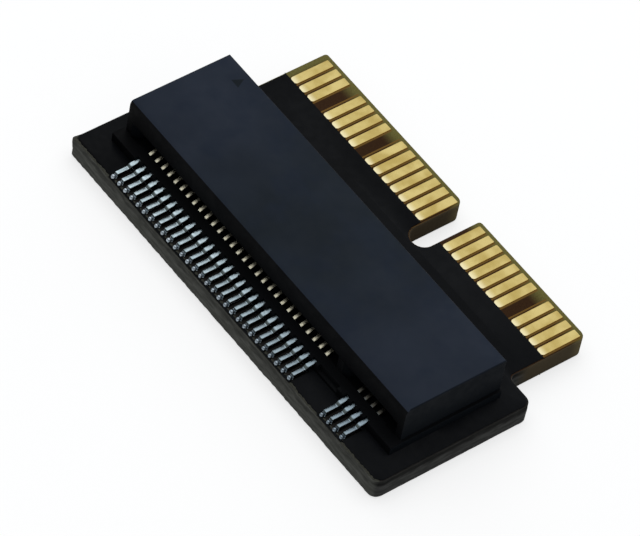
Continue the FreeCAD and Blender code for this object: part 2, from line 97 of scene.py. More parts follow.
FINGER_PITCH, FINGER_WIDTH = 0.66 * MM, 0.5 * MM
CONTACT_WIDTH = 0.22 * MM
CONTACT_THICKNESS = 0.16 * MM
WIDE_COUNT, NARROW_COUNT, REAR_NARROW_COUNT = 29, 4, 5
board_top = mask_high.z
jaw_front = housing_low.y
first_plane = wide_low.x + CONTACT_WIDTH / 2
last_plane = wide_high.x - CONTACT_WIDTH / 2
pitch = (last_plane - first_plane) / (WIDE_COUNT - 1)
print("contact pitch in mm:", round(pitch / MM, 4))
print("board top in mm:", round(board_top / MM, 3), " jaw front:", round(jaw_front / MM, 3))

# %% [markdown]
# ## Small tools for surfaces
#
# Most pieces here are a ring of points carried along something: a card's outline carried up
# its thickness, or a strip's section carried along its bends. So one helper joins rings with
# quads and closes both ends, one puts the arrays into a mesh, and one rounds the corners of a
# line with exact parts of circles.

# %% Mesh helpers
def ring_faces(rings, around):
    """Faces of a closed skin over `rings` rings of `around` points each, as two arrays: a quad
    between each two neighbours on a ring and the same two on the next ring, and one face on
    each end."""
    start = np.arange(rings - 1)[:, None] * around
    here = np.arange(around)[None, :]
    there = (here + 1) % around
    quads = np.stack([start + here, start + there, start + around + there,
                      start + around + here], axis=-1).reshape(-1, 4)
    ends = np.stack([np.arange(around)[::-1], np.arange(around) + (rings - 1) * around])
    return [quads, ends]


def face_list(kinds, count=0, copies=1):
    """All faces of several copies whose points follow one another, `count` points each: every
    array of faces plus each copy's first number."""
    first = np.arange(copies)[:, None, None] * count
    return sum([(kind + first).reshape(-1, kind.shape[1]).tolist() for kind in kinds], [])


def face_outwards(mesh):
    """Turn all faces over if the closed mesh holds a negative volume."""
    shape = bmesh.new()
    shape.from_mesh(mesh)
    if shape.calc_volume(signed=True) < 0:
        bmesh.ops.reverse_faces(shape, faces=shape.faces)
    shape.to_mesh(mesh)
    shape.free()


def add_object(name, data):
    """A new object in the scene."""
    thing = bpy.data.objects.new(name, data)
    bpy.context.scene.collection.objects.link(thing)
    return thing


def dress(name, mesh, slot, replaces, smooth_degrees):
    """Put a finished mesh into the scene with its shading, material, slot and body."""
    face_outwards(mesh)
    mesh.shade_smooth()
    mesh.set_sharp_from_angle(angle=math.radians(smooth_degrees))
    piece = add_object(name, mesh)
    mesh.materials.append(FINISHES[slot])
    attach(piece, "root")
    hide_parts(*replaces)
    print(f"{name}: {len(mesh.vertices)} points, {len(mesh.polygons)} faces")
    return piece


def add_copies(name, copies, kinds, slot, replaces, smooth_degrees=50):
    """A piece from an array of closed copies, (copies, ..., 3), which share their faces."""
    mesh = bpy.data.meshes.new(name)
    faces = face_list(kinds, copies[0].size // 3, len(copies))
    mesh.from_pydata(copies.reshape(-1, 3).tolist(), [], faces)
    return dress(name, mesh, slot, replaces, smooth_degrees)


# %% A line with rounded corners
ARC_STEPS = 7


def rounded(corners, reach, closed=False):
    """Points of a line whose corners are arcs. The arc at corner P starts at A and ends at B,
    both `reach` away from P, and its points are ((1-u)^2 A + 2w u(1-u) P + u^2 B) divided by
    the sum of the three weights, with w the cosine of half the turn."""
    corners = np.asarray(corners, float)
    reach = np.broadcast_to(np.asarray(reach, float), len(corners))[:, None]
    before = np.roll(corners, 1, axis=0) - corners
    after = np.roll(corners, -1, axis=0) - corners
    before /= np.linalg.norm(before, axis=1, keepdims=True)
    after /= np.linalg.norm(after, axis=1, keepdims=True)
    weight = np.sqrt(np.clip(1 - (before * after).sum(1), 0, 2) / 2)[:, None, None]
    u = np.linspace(0, 1, ARC_STEPS)[None, :, None]
    shares = (1 - u) ** 2, 2 * weight * u * (1 - u), u ** 2
    points = (shares[0] * (corners + before * reach)[:, None] + shares[1] * corners[:, None]
              + shares[2] * (corners + after * reach)[:, None]) / sum(shares)
    if closed:
        return points.reshape(-1, 2)
    return np.vstack([corners[:1], points[1:-1].reshape(-1, 2), corners[-1:]])


def evenly(line, spacing, closed=False):
    """The same line with its points at about the given distance along it."""
    if closed:
        line = np.vstack([line, line[:1]])
    along = np.concatenate([[0], np.cumsum(np.linalg.norm(np.diff(line, axis=0), axis=1))])
    places = np.linspace(0, along[-1], int(along[-1] / spacing), endpoint=not closed)
    return np.stack([np.interp(places, along, line[:, k]) for k in (0, 1)], axis=1)


# %% [markdown]
# ## Building a material from nodes
#
# All finishes start from the Principled shader. The helpers below add a noise pattern read
# from Object coordinates, which are metres here, so a grain of 0.05 mm has a scale of 20 000.
# They also blend two values by a mask and turn a pattern into bump. The two numbers given with
# a pattern are where in its range from 0 to 1 a blend starts and ends. A value that is the same
# all over goes straight onto the shader's own socket.

# %% Node helpers
FINISHES = {}
LEFT_PART, RIGHT_PART = -9 * MM, 10 * MM
COLOUR_A, COLOUR_B, COLOUR_OUT = 6, 7, 2  # the Mix node's sockets for colours


class Finish:
    """A material with a Principled shader, and short calls for the nodes that feed it."""

    def __init__(self, slot, **settings):
        self.material = bpy.data.materials.new(slot)
        self.material.use_nodes = True
        self.nodes = self.material.node_tree.nodes
        self.links = self.material.node_tree.links
        self.shader = self.nodes["Principled BSDF"]
        read = self.nodes.new("ShaderNodeTexCoord")
        self.place, self.normal = read.outputs["Object"], read.outputs["Normal"]
        for socket, value in settings.items():
            self.shader.inputs[socket.replace("_", " ")].default_value = value
        FINISHES[slot] = self.material

    def feed(self, socket, source):
        """Connect a source to one of the shader's sockets."""
        self.links.new(source, self.shader.inputs[socket])

    def lay(self, mask, colour):
        """Blend one more colour over what feeds the shader, where the mask is 1."""
        present = self.shader.inputs["Base Color"].links[0].from_socket
        self.feed("Base Color", self.blend(mask, present, colour))

    def put(self, node, socket, value):
        """A value or another node's output into a socket."""
        if isinstance(value, bpy.types.NodeSocket):
            self.links.new(value, node.inputs[socket])
        else:
            node.inputs[socket].default_value = value

    def noise(self, grain, detail=2.0, stretch=(1, 1, 1)):
        """A soft pattern from 0 to 1 whose grain is a length in metres."""
        mapping = self.nodes.new("ShaderNodeMapping")
        self.links.new(self.place, mapping.inputs["Vector"])
        mapping.inputs["Scale"].default_value = stretch
        pattern = self.nodes.new("ShaderNodeTexNoise")
        self.links.new(mapping.outputs["Vector"], pattern.inputs["Vector"])
        pattern.inputs["Scale"].default_value = 1 / grain
        pattern.inputs["Detail"].default_value = detail
        return pattern.outputs["Fac"]

    def ease(self, source, start, end, low=0.0, high=1.0):
        """Runs smoothly from low to high while the source goes from start to end."""
        step = self.nodes.new("ShaderNodeMapRange")
        step.interpolation_type = "SMOOTHSTEP"
        for socket, value in (("Value", source), ("From Min", start), ("From Max", end),
                              ("To Min", low), ("To Max", high)):
            self.put(step, socket, value)
        return step.outputs["Result"]

    def maths(self, operation, first, second=0.0):
        """One arithmetic step on two values."""
        node = self.nodes.new("ShaderNodeMath")
        node.operation = operation
        self.put(node, 0, first)
        self.put(node, 1, second)
        return node.outputs["Value"]

    def blend(self, mask, first, second):
        """The first colour where the mask is 0 and the second where it is 1."""
        mix = self.nodes.new("ShaderNodeMix")
        mix.data_type = "RGBA"
        self.put(mix, "Factor", mask)
        for number, colour in ((COLOUR_A, first), (COLOUR_B, second)):
            self.put(mix, number, (*colour, 1) if isinstance(colour, tuple) else colour)
        return mix.outputs[COLOUR_OUT]

    def axis(self, name):
        """One coordinate of the place on the object, in metres."""
        split = self.nodes.new("ShaderNodeSeparateXYZ")
        self.links.new(self.place, split.inputs["Vector"])
        return split.outputs[name]

    def rightward(self):
        """0 at the card's left end, growing to 1 at its right end."""
        return self.ease(self.axis("X"), LEFT_PART, RIGHT_PART)

    def facing(self, name):
        """How much the surface faces along an axis, either way: 0 to 1."""
        split = self.nodes.new("ShaderNodeSeparateXYZ")
        self.links.new(self.normal, split.inputs["Vector"])
        return self.maths("ABSOLUTE", split.outputs[name])

    def bump(self, pattern, height, strength=1.0, under=None):
        """Relief of a given height in metres; `under` is a coarser relief below it."""
        node = self.nodes.new("ShaderNodeBump")
        node.inputs["Distance"].default_value = height
        node.inputs["Strength"].default_value = strength
        self.links.new(pattern, node.inputs["Height"])
        if under is not None:
            self.links.new(under, node.inputs["Normal"])
        return node.outputs["Normal"]


# %% [markdown]
# ## The socket's plastic
#
# A socket is moulded from a glass-filled polymer that stands the solder oven. The tool's face
# for the top is spark eroded, so the top is matt, and the melt leaves soft navy clouds in it.
# The top is painted a touch lighter, most of all towards its ends, as painted light. A small
# darker triangle near the left end marks the first contact. The side walls are painted deeper,
# above all the long ones, as painted shade. A very low specular keeps the plastic black under
# a bright sky.

# %% Finish: socket plastic
CLOUDS, PATCHES, SINKS = 4.2 * MM, 1.5 * MM, 1.6 * MM
SHEEN, SPARKS = 0.5 * MM, 0.07 * MM
SINK_RELIEF, SPARK_RELIEF = 0.004 * MM, 0.0012 * MM
LIT_ENDS_FROM, LIT_ENDS_FULL = 1.5 * MM, 9 * MM
TOP_FROM, TOP_FULL = 0.9 * MM, 0.2 * MM
MARK_MIDDLE, MARK_BASE, MARK_SIDE, MARK_BLUR = -9.15 * MM, 0.17 * MM, 0.56 * MM, 0.02 * MM
TOP_DARK = (0.0120, 0.0165, 0.0225), (0.0170, 0.0225, 0.0345)
TOP_LIT_ENDS = (0.0160, 0.0215, 0.0305), (0.0220, 0.0285, 0.0430)
TOP_PATCH, TOP_MARK = (0.0125, 0.0185, 0.0320), (0.0085, 0.0120, 0.0160)
LONG_WALL_SHADE = (0.0018, 0.0020, 0.0024), (0.0030, 0.0034, 0.0042)
END_WALL_SHADE = (0.0068, 0.0088, 0.0115)
plastic = Finish("socket_plastic", Roughness=0.6, Specular_IOR_Level=0.05)
cloud = plastic.ease(plastic.noise(CLOUDS), 0.34, 0.68)
patch = plastic.ease(plastic.noise(PATCHES, 3.0), 0.42, 0.72, 0.0, 0.5)
# Painted light: the top grows lighter towards both ends
ends = plastic.ease(plastic.maths("ABSOLUTE", plastic.axis("X")), LIT_ENDS_FROM, LIT_ENDS_FULL)
top_tone = plastic.blend(cloud, plastic.blend(ends, *TOP_DARK), plastic.blend(ends, *TOP_LIT_ENDS))
top_tone = plastic.blend(patch, top_tone, TOP_PATCH)
# Painted shade: the walls are far darker than the top, the long ones most
wall_tone_and_shade = plastic.blend(plastic.ease(plastic.facing("X"), 0.5, 0.9),
                          plastic.blend(cloud, *LONG_WALL_SHADE), END_WALL_SHADE)

# The triangle is where |x - middle| / (side / 2) + (y - base) / side is below 1
off_middle = plastic.maths("ABSOLUTE", plastic.maths("SUBTRACT", plastic.axis("X"), MARK_MIDDLE))
above_base = plastic.maths("SUBTRACT", plastic.axis("Y"), MARK_BASE)
slanted = plastic.maths("ADD", plastic.maths("DIVIDE", off_middle, MARK_SIDE / 2),
                        plastic.maths("DIVIDE", above_base, MARK_SIDE))
in_mark = plastic.maths("MULTIPLY", plastic.ease(slanted, 1.08, 0.92),
                        plastic.ease(above_base, -MARK_BLUR, MARK_BLUR))
top_tone = plastic.blend(in_mark, top_tone, TOP_MARK)
is_high = plastic.ease(plastic.axis("Z"), housing_high.z - TOP_FROM, housing_high.z - TOP_FULL)
is_top = plastic.maths("MULTIPLY", plastic.ease(plastic.facing("Z"), 0.55, 0.95), is_high)
plastic.feed("Base Color", plastic.blend(is_top, wall_tone_and_shade, top_tone))
plastic.feed("Roughness", plastic.ease(plastic.noise(SHEEN), 0.3, 0.7, 0.56, 0.68))
plastic.feed("Normal", plastic.bump(plastic.noise(SPARKS), SPARK_RELIEF, 0.5,
                                    plastic.bump(plastic.noise(SINKS), SINK_RELIEF, 0.6)))
# The deeper walls are painted shade
print("socket plastic: matt navy top with a triangle, deeper smooth walls")

# %% [markdown]
# ## The board's black lacquer
#
# Solder mask is a thin lacquer that is printed, exposed and baked. It is darker and smoother
# than the plastic, with a faint orange peel, and a little greyer towards the right end. Low
# specular keeps it black beside the socket.

# %% Finish: solder mask
FILM_CLOUDS, FILM_SHEEN, ORANGE_PEEL, PEEL_RELIEF = 1.9 * MM, 0.4 * MM, 0.2 * MM, 0.0015 * MM
THIN_FILM = (0.0020, 0.0024, 0.0031), (0.0046, 0.0052, 0.0063)
THICK_FILM = (0.0032, 0.0037, 0.0046), (0.0064, 0.0070, 0.0082)
mask = Finish("solder_mask", Roughness=0.42, Specular_IOR_Level=0.035)
along = mask.rightward()
mask.feed("Base Color", mask.blend(mask.ease(mask.noise(FILM_CLOUDS, 3.0), 0.35, 0.7),
                                   mask.blend(along, *THIN_FILM), mask.blend(along, *THICK_FILM)))
mask.feed("Roughness", mask.ease(mask.noise(FILM_SHEEN), 0.3, 0.7, 0.38, 0.5))
mask.feed("Normal", mask.bump(mask.noise(ORANGE_PEEL), PEEL_RELIEF, 0.5))
print("solder mask: black lacquer with orange peel")

# %% [markdown]
# ## Bare laminate
#
# Where the lacquer stops, the glass-fibre laminate shows. An inner copper layer ends a little
# way in from the tongue's rim, so the resin looks reddish brown over the copper and olive
# outside it, fading from one to the other. The strip of resin to the right of each finger is
# amber. Off the tongue the core is dark, and rubbed grey on its near rim. On the routed side
# walls, cut fibres leave short streaks along the board: dusty grey low on the long near wall,
# darker under its top rim, and tan on the tongue. Round the ends the walls are painted darker
# still, as painted shade. Each mask comes from the place on the object or the way the surface
# faces.

# %% Finish: laminate
TONGUE_HALF = 10.2 * MM
INNER_COPPER_INSET, INNER_COPPER_BLUR = 0.62 * MM, 0.42 * MM
BANK_CHANGE = 0.0, 2 * MM
AMBER_FROM, AMBER_FULL, START_BLUR, END_BLUR = 0.12 * MM, 0.05 * MM, 0.02 * MM, 0.05 * MM
RUBBED_FROM, RUBBED_FULL = 0.30 * MM, 0.22 * MM
TONGUE_FLAT, TONGUE_SIDE = (2.2 * MM, 2.4 * MM), (2.6 * MM, 3.6 * MM)
DUST_HEIGHT, DUST_WAVER, DUST_BLUR, DUST_GRAIN = 0.86 * MM, 0.5 * MM, 0.12 * MM, 0.8 * MM
WEAVE_GRAIN, STREAK_GRAIN, STREAK_RELIEF = 0.10 * MM, 0.30 * MM, 0.008 * MM
OVER_COPPER = (0.030, 0.0125, 0.0045), (0.042, 0.0190, 0.0065)
PAST_COPPER = (0.115, 0.100, 0.0270), (0.155, 0.138, 0.0420)
AMBER_RESIN = (0.170, 0.092, 0.020)
BODY_TONES = (0.0120, 0.0108, 0.0100), (0.0180, 0.0160, 0.0148)
RUBBED_TONES = (0.034, 0.034, 0.028), (0.060, 0.060, 0.048)
NEAR_LOW_TONES = (0.110, 0.112, 0.100), (0.165, 0.167, 0.152)
NEAR_HIGH_TONES = (0.065, 0.066, 0.060), (0.110, 0.111, 0.100)
# End wall tones, darker than the near wall's: painted shade
END_LOW_SHADE_TONES = (0.062, 0.062, 0.059), (0.100, 0.100, 0.096)
END_HIGH_SHADE_TONES = (0.020, 0.020, 0.019), (0.034, 0.034, 0.032)
TONGUE_TONES = (0.100, 0.078, 0.048), (0.185, 0.150, 0.078)
core = Finish("laminate", Roughness=0.55, Specular_IOR_Level=0.03)
across, depth, height = core.axis("X"), core.axis("Y"), core.axis("Z")

# Flat faces: the tongue's brown, olive and amber, then the dark rest and its rubbed rim
copper_end = board_high.y - INNER_COPPER_INSET
copper_left = -TONGUE_HALF + INNER_COPPER_INSET
rim_far = core.ease(depth, copper_end - INNER_COPPER_BLUR, copper_end + INNER_COPPER_BLUR)
rim_left = core.ease(across, copper_left, copper_left - INNER_COPPER_BLUR)
weave = core.ease(core.noise(WEAVE_GRAIN, 3.0, (1, 2.4, 1)), 0.35, 0.65)
flat_tone = core.blend(core.maths("MAXIMUM", rim_far, rim_left),
                       core.blend(weave, *OVER_COPPER), core.blend(weave, *PAST_COPPER))
first_edge = core.ease(across, *BANK_CHANGE, finger_low.x, bank_low.x)
from_edge = core.maths("SUBTRACT", across, first_edge)
past_finger = core.maths("FLOORED_MODULO", core.maths("SUBTRACT", from_edge, FINGER_WIDTH), FINGER_PITCH)
beside = core.ease(past_finger, AMBER_FROM, AMBER_FULL)
for limit in (core.ease(depth, finger_high.y + END_BLUR, finger_high.y - 2 * END_BLUR),
              core.ease(from_edge, 0, START_BLUR)):
    beside = core.maths("MULTIPLY", beside, limit)
flat_tone = core.blend(beside, flat_tone, AMBER_RESIN)
on_rim = core.ease(depth, board_low.y + RUBBED_FROM, board_low.y + RUBBED_FULL)
body_tone = core.blend(on_rim, core.blend(weave, *BODY_TONES), core.blend(weave, *RUBBED_TONES))
flat_tone = core.blend(core.ease(depth, *TONGUE_FLAT), body_tone, flat_tone)

# Side walls: a wavering line parts the dusty lower half from the darker upper one
streak = core.ease(core.noise(STREAK_GRAIN, 4.0, (0.35, 0.35, 1.6)), 0.36, 0.68)
lifted = core.maths("ADD", height, core.maths(
    "MULTIPLY", core.noise(DUST_GRAIN, 3.0, (1, 1, 0.2)), DUST_WAVER))
dust_line = DUST_HEIGHT + DUST_WAVER / 2
under_rim = core.ease(lifted, dust_line - DUST_BLUR, dust_line + DUST_BLUR)
# Painted shade: the end walls, facing X, take darker tones than the near wall
near_wall, shaded_end_wall = (
    core.blend(under_rim, core.blend(streak, *low), core.blend(streak, *high))
    for low, high in ((NEAR_LOW_TONES, NEAR_HIGH_TONES), (END_LOW_SHADE_TONES, END_HIGH_SHADE_TONES)))
wall_tone_and_shade = core.blend(core.ease(core.facing("X"), 0.45, 0.85), near_wall, shaded_end_wall)
wall_tone_and_shade = core.blend(core.ease(depth, *TONGUE_SIDE), wall_tone_and_shade, core.blend(rim_far, *TONGUE_TONES))
level = core.ease(core.facing("Z"), 0.6, 0.9)
core.feed("Base Color", core.blend(level, wall_tone_and_shade, flat_tone))
core.feed("Roughness", core.ease(level, 0.0, 1.0, 0.85, 0.5))
core.feed("Normal", core.bump(streak, STREAK_RELIEF, 0.5))
print("laminate: brown and olive flats with amber strips, dusty walls")

# %% [markdown]
# ## Metals
#
# Gold on the fingers is plated over nickel, with faint wipe marks along each finger. A painted
# highlight makes it paler at the fingers' inner ends, and painted shade makes it amber on their
# sides. The contacts are a copper alloy: dull tin on the feet, darker on the sheared sides, and
# painted shade in the bends; a thin gold flash on the beams, painted dark as shade on the narrow
# group. Solder and tin are cooler and a little uneven; the balls' sides and the pads' tin get
# painted shade. Feet and solder dim towards the right end, which is painted shade. A metal takes
# its look from what it mirrors, so each gets a fine roughness pattern and only a small change of
# colour.

# %% Finish: metals
MARK_GRAIN = 0.05 * MM
HIGHLIGHT_REACH, HIGHLIGHT_GOLD, SHADED_AMBER_EDGE = 0.42 * MM, (0.67, 0.60, 0.37), (0.34, 0.19, 0.035)
FAR_SOLDER_SHADE, SHADED_BALL_SIDE = (0.22, 0.27, 0.31), (0.075, 0.075, 0.072)
BALL_SIDE_FROM, BALL_SIDE_FULL = 0.09 * MM, 0.03 * MM
FAR_TIN_SHADE, BEND_SHADE, SHEARED_EDGE = (0.22, 0.28, 0.32), (0.13, 0.16, 0.16), (0.085, 0.060, 0.055)
GOLD_FLASH, SHADED_FLASH = (0.52, 0.49, 0.37), (0.055, 0.052, 0.043)
FLASH_FROM, FLASH_FULL, BEND_BAND = 0.55 * MM, 0.85 * MM, (-2 * MM, -3 * MM)
PAST_GAP_FROM, PAST_GAP_FULL = 1.2 * MM, 0.4 * MM


def metal(slot, dark, bright, clouds, roughness, relief, stretch=(1, 1, 1)):
    """A metal whose colour runs between two tones in soft clouds, with fine drawn marks that are
    short along an axis where the stretch is large."""
    finish = Finish(slot, Metallic=1.0, Roughness=roughness)
    patch = finish.ease(finish.noise(clouds, 3.0), 0.35, 0.65)
    marks = finish.noise(MARK_GRAIN, stretch=stretch)
    finish.feed("Base Color", finish.blend(patch, dark, bright))
    finish.feed("Roughness", finish.ease(marks, 0.3, 0.7, roughness * 0.85, roughness * 1.2))
    finish.feed("Normal", finish.bump(marks, relief, 0.35))
    return finish


gold = metal("gold_plating", (0.38, 0.285, 0.088), (0.51, 0.41, 0.160), clouds=1.3 * MM,
             roughness=0.32, relief=0.0006 * MM, stretch=(3, 0.35, 1))
# Painted highlight: paler gold at the fingers' inner ends
gold.lay(gold.ease(gold.axis("Y"), finger_low.y + HIGHLIGHT_REACH, finger_low.y), HIGHLIGHT_GOLD)
# Painted shade: amber on the fingers' sides
gold.lay(gold.ease(gold.facing("X"), 0.12, 0.5), SHADED_AMBER_EDGE)

# Painted shade: the pads' tin gets dark tones
metal("tinned_pad", (0.060, 0.056, 0.048), (0.10, 0.095, 0.085), clouds=0.2 * MM,
      roughness=0.5, relief=0.0008 * MM)

solder = metal("solder", (0.36, 0.42, 0.46), (0.50, 0.56, 0.61), clouds=0.12 * MM,
               roughness=0.30, relief=0.0006 * MM)
# Painted shade: the solder dims towards the right end
solder.lay(solder.rightward(), FAR_SOLDER_SHADE)
# Painted shade: the balls' sides at the toe are darker
at_toe = solder.ease(solder.axis("Y"), wide_low.y - BALL_SIDE_FROM, wide_low.y - BALL_SIDE_FULL)
solder.lay(solder.maths("MULTIPLY", solder.ease(solder.facing("X"), 0.35, 0.75), at_toe), SHADED_BALL_SIDE)

metal("nail_metal", (0.42, 0.44, 0.44), (0.52, 0.53, 0.53), clouds=0.4 * MM,
      roughness=0.35, relief=0.002 * MM, stretch=(1, 3, 0.5))

contact = metal("contact_metal", (0.36, 0.45, 0.48), (0.49, 0.58, 0.62), clouds=0.16 * MM,
                roughness=0.28, relief=0.0004 * MM, stretch=(3, 0.4, 1))
# Painted shade: the tin dims towards the right end
contact.lay(contact.rightward(), FAR_TIN_SHADE)
# Painted shade: the bends that face the front, near the feet, are darker
contact.lay(contact.maths("MULTIPLY", contact.ease(contact.facing("Y"), 0.35, 0.6),
                          contact.ease(contact.axis("Y"), *BEND_BAND)), BEND_SHADE)
at_flash = contact.ease(contact.axis("Y"), jaw_front + FLASH_FROM, jaw_front + FLASH_FULL)
# Painted shade: the narrow group's beams get a dark flash
past_gap = contact.ease(contact.axis("X"), narrow_low.x - PAST_GAP_FROM, narrow_low.x - PAST_GAP_FULL)
contact.lay(at_flash, contact.blend(past_gap, GOLD_FLASH, SHADED_FLASH))
contact.lay(contact.ease(contact.facing("X"), 0.5, 0.9), SHEARED_EDGE)
print("finishes:", ", ".join(FINISHES))

# %% [markdown]
# ## Contacts bent from strip
#
# Each contact is stamped and bent from one strip of copper alloy. The solids have mitred
# corners, which catch no light. So here the same path gets rounded bends, and a soft-cornered
# section is carried along it. The section is a superellipse: the cosine and sine of an angle,
# each raised to a small power, which makes a rectangle with rounded edges. Near both ends the
# section shrinks a little, as a sheared and tumbled end does.

# %% Strip along a path
SECTION_POINTS = 14
SECTION_POWER = 0.42
END_ROLL, END_SHARE = 0.025 * MM, 0.72


def strip_points(path, half_width, half_thickness):
    """Rings of a strip along a path in (y, z). Ring point = path point + (power cosine x half
    width) along X + (power sine x half thickness) along the path's normal. The first and the
    last ring are drawn in to a share of the section."""
    after, before = path[1] - path[0], path[-2] - path[-1]
    path = np.vstack([path[:1], path[0] + after / np.linalg.norm(after) * END_ROLL, path[1:-1],
                      path[-1] + before / np.linalg.norm(before) * END_ROLL, path[-1:]])
    half_width = np.interp(np.arange(len(path)), np.arange(len(half_width)) + 1, half_width)
    share = np.ones((len(path), 1))
    share[[0, -1]] = END_SHARE
    tangent = np.gradient(path, axis=0)
    tangent /= np.linalg.norm(tangent, axis=1, keepdims=True)
    angle = (np.arange(SECTION_POINTS) + 0.5) * 2 * np.pi / SECTION_POINTS
    cosine, sine = np.cos(angle), np.sin(angle)
    across = np.sign(cosine) * np.abs(cosine) ** SECTION_POWER
    lift = np.sign(sine) * np.abs(sine) ** SECTION_POWER * half_thickness * share
    x = half_width[:, None] * across * share
    y = path[:, :1] - tangent[:, 1:] * lift
    z = path[:, 1:] + tangent[:, :1] * lift
    return np.stack([x, y, z], axis=-1)


SOLDERING_SPREAD, LEAN_SHARE, SOLDERING_SEED = 0.007 * MM, 0.6, 29
dice = np.random.default_rng(SOLDERING_SEED)


def lay_row(rings, planes):
    """One strip on each plane. Each copy is shifted along X by a random share of the spread
    and turned a little, as feet are after soldering."""
    shift = planes + dice.uniform(-SOLDERING_SPREAD, SOLDERING_SPREAD, len(planes))
    lean = dice.uniform(-SOLDERING_SPREAD, SOLDERING_SPREAD, len(planes)) * LEAN_SHARE
    reach = (rings[..., 1] - rings[..., 1].mean()) / np.ptp(rings[..., 1])
    copies = np.repeat(rings[None], len(planes), axis=0)
    copies[..., 0] += shift[:, None, None] + lean[:, None, None] * reach[None]
    return copies


def add_row(name, node, rings, row):
    """The wide and the narrow group of a row, each in place of its own CAD node."""
    for group, planes in row.items():
        add_copies(f"{name}_{group}", lay_row(rings, planes), ring_faces(*rings.shape[:2]),
                   "contact_metal", [f"{node}_{group}"])


# %% [markdown]
# ## The lower row
#
# The foot lies on its solder film. A short riser lifts the strip to a gently rising shoulder
# that runs through the jaw's open slot and under the lip. Behind the lip it narrows and rises
# as a spring beam, whose crown stands where a drive's edge will press it down.

# %% Lower row of contacts
half = CONTACT_THICKNESS / 2
STRIP_SPACING = 0.035 * MM
foot_level = wide_low.z + half
toe = wide_low.y
FOOT_LENGTH, RISER_RUN = 0.70 * MM, 0.17 * MM
SLOT_REACH, SHOULDER_HEIGHT, SHOULDER_RISE = 0.2 * MM, 0.39 * MM, 0.058 * MM
LIP_WIDTH, BLOCK_SETBACK = 0.72 * MM, 0.68 * MM
KNEE_REACH, KNEE_HEIGHT = 0.62 * MM, 0.56 * MM
CROWN_REACH, CROWN_HEIGHT = 1.84 * MM, 0.7 * MM
TIP_RUN, TIP_TURN = 0.36 * MM, 0.24 * MM
FRONT_BENDS = np.array([0, 0.03, 0.04, 0.15, 0.12, 0.4, 0.15, 0]) * MM
WIDTH_SHARES, NARROWING = [1.05, 1.2, 1.2, 1, 0.9], 0.1 * MM
heel = toe + FOOT_LENGTH
lip_back = jaw_front + LIP_WIDTH
block_front = jaw_front + BLOCK_SETBACK
shoulder = board_top + SHOULDER_HEIGHT - half
crown_place = block_front + CROWN_REACH
slot_end = jaw_front + SLOT_REACH
front_corners = [(toe, foot_level), (heel, foot_level),
                 (heel + RISER_RUN, shoulder - SHOULDER_RISE), (slot_end, shoulder),
                 (lip_back, shoulder), (block_front + KNEE_REACH, board_top + KNEE_HEIGHT),
                 (crown_place, board_top + CROWN_HEIGHT),
                 (crown_place + TIP_RUN, board_top + CROWN_HEIGHT - TIP_TURN)]
front_path = evenly(rounded(front_corners, FRONT_BENDS), STRIP_SPACING)
width_places = [heel, heel + RISER_RUN, lip_back - NARROWING, lip_back + NARROWING, crown_place]
front_half_width = np.interp(front_path[:, 0], width_places, WIDTH_SHARES) * CONTACT_WIDTH / 2
front_rings = strip_points(front_path, front_half_width, half)
front_planes = {"wide": first_plane + pitch * np.arange(WIDE_COUNT),
                "narrow": narrow_low.x + CONTACT_WIDTH / 2 + pitch * np.arange(NARROW_COUNT)}
add_row("formed_contacts", "front_contacts", front_rings, front_planes)

# %% [markdown]
# ## The upper row
#
# The other row is soldered behind the socket. Its leg climbs the back face in a groove, turns
# over into a cavity above the mouth and runs forward as a beam. Only its feet and legs show,
# from behind, and the tips from a low view into the mouth.

# %% Upper row of contacts
LEG_BEND, BEAM_ROOT = 0.18 * MM, 2.04 * MM
MOUTH_FLOOR, MOUTH_HEIGHT, MOUTH_DEPTH = 0.28 * MM, 1.04 * MM, 5.17 * MM
CROWN_OVERLAP = 0.12 * MM
REAR_BENDS = np.array([0, 0.1, 0.1, 0.08, 0.08, 0.3, 0.15, 0]) * MM
leg = housing_high.y - CONTACT_THICKNESS
rear_toe = rear_high.y
beam = rear_high.z - half
crown_level = board_top + MOUTH_FLOOR + MOUTH_HEIGHT - CROWN_OVERLAP
rear_corners = [(rear_toe, foot_level), (leg + LEG_BEND, foot_level), (leg, foot_level + LEG_BEND),
                (leg, beam - CONTACT_THICKNESS), (leg - CONTACT_THICKNESS, beam),
                (block_front + MOUTH_DEPTH - BEAM_ROOT, beam), (crown_place, crown_level),
                (crown_place - TIP_RUN, crown_level + TIP_TURN)]
rear_path = evenly(rounded(rear_corners, REAR_BENDS), STRIP_SPACING * 2)
rear_rings = strip_points(rear_path, np.full(len(rear_path), CONTACT_WIDTH / 2), half)
rear_planes = {"wide": rear_low.x + CONTACT_WIDTH / 2 + pitch * np.arange(WIDE_COUNT),
               "narrow": rear_narrow_low.x + CONTACT_WIDTH / 2
               + pitch * np.arange(REAR_NARROW_COUNT)}
add_row("formed_rear_contacts", "rear_contacts", rear_rings, rear_planes)

# %% [markdown]
# ## Solder
#
# Molten solder wets the pad, climbs the sides of the foot in a hollow fillet and gathers as a
# round ball in front of the toe. That is a height over each pad: a fillet that falls away from
# the foot, or the top of a ball where that is higher. Where there is neither, the skin lies a
# hair below the pad's face, so the bare pad shows. Each ball differs in size and place.

# %% Solder joints
FILM, BARE = 0.055 * MM, -0.001 * MM
FILLET_HEIGHT, SIDE_REACH, END_REACH = 0.045 * MM, 0.038 * MM, 0.075 * MM
BALL_REACH, BALL_RADIUS, BALL_LIFT = 0.145 * MM, 0.122 * MM, 0.045 * MM
FILLET_POWER = 1.3
SOLDER_SINK = 0.002 * MM
PAD_HALF = 0.14 * MM
BALL_SIZES, BALL_SHIFT = (0.86, 1.1), 0.012 * MM
pad_margin = toe - pad_low.y


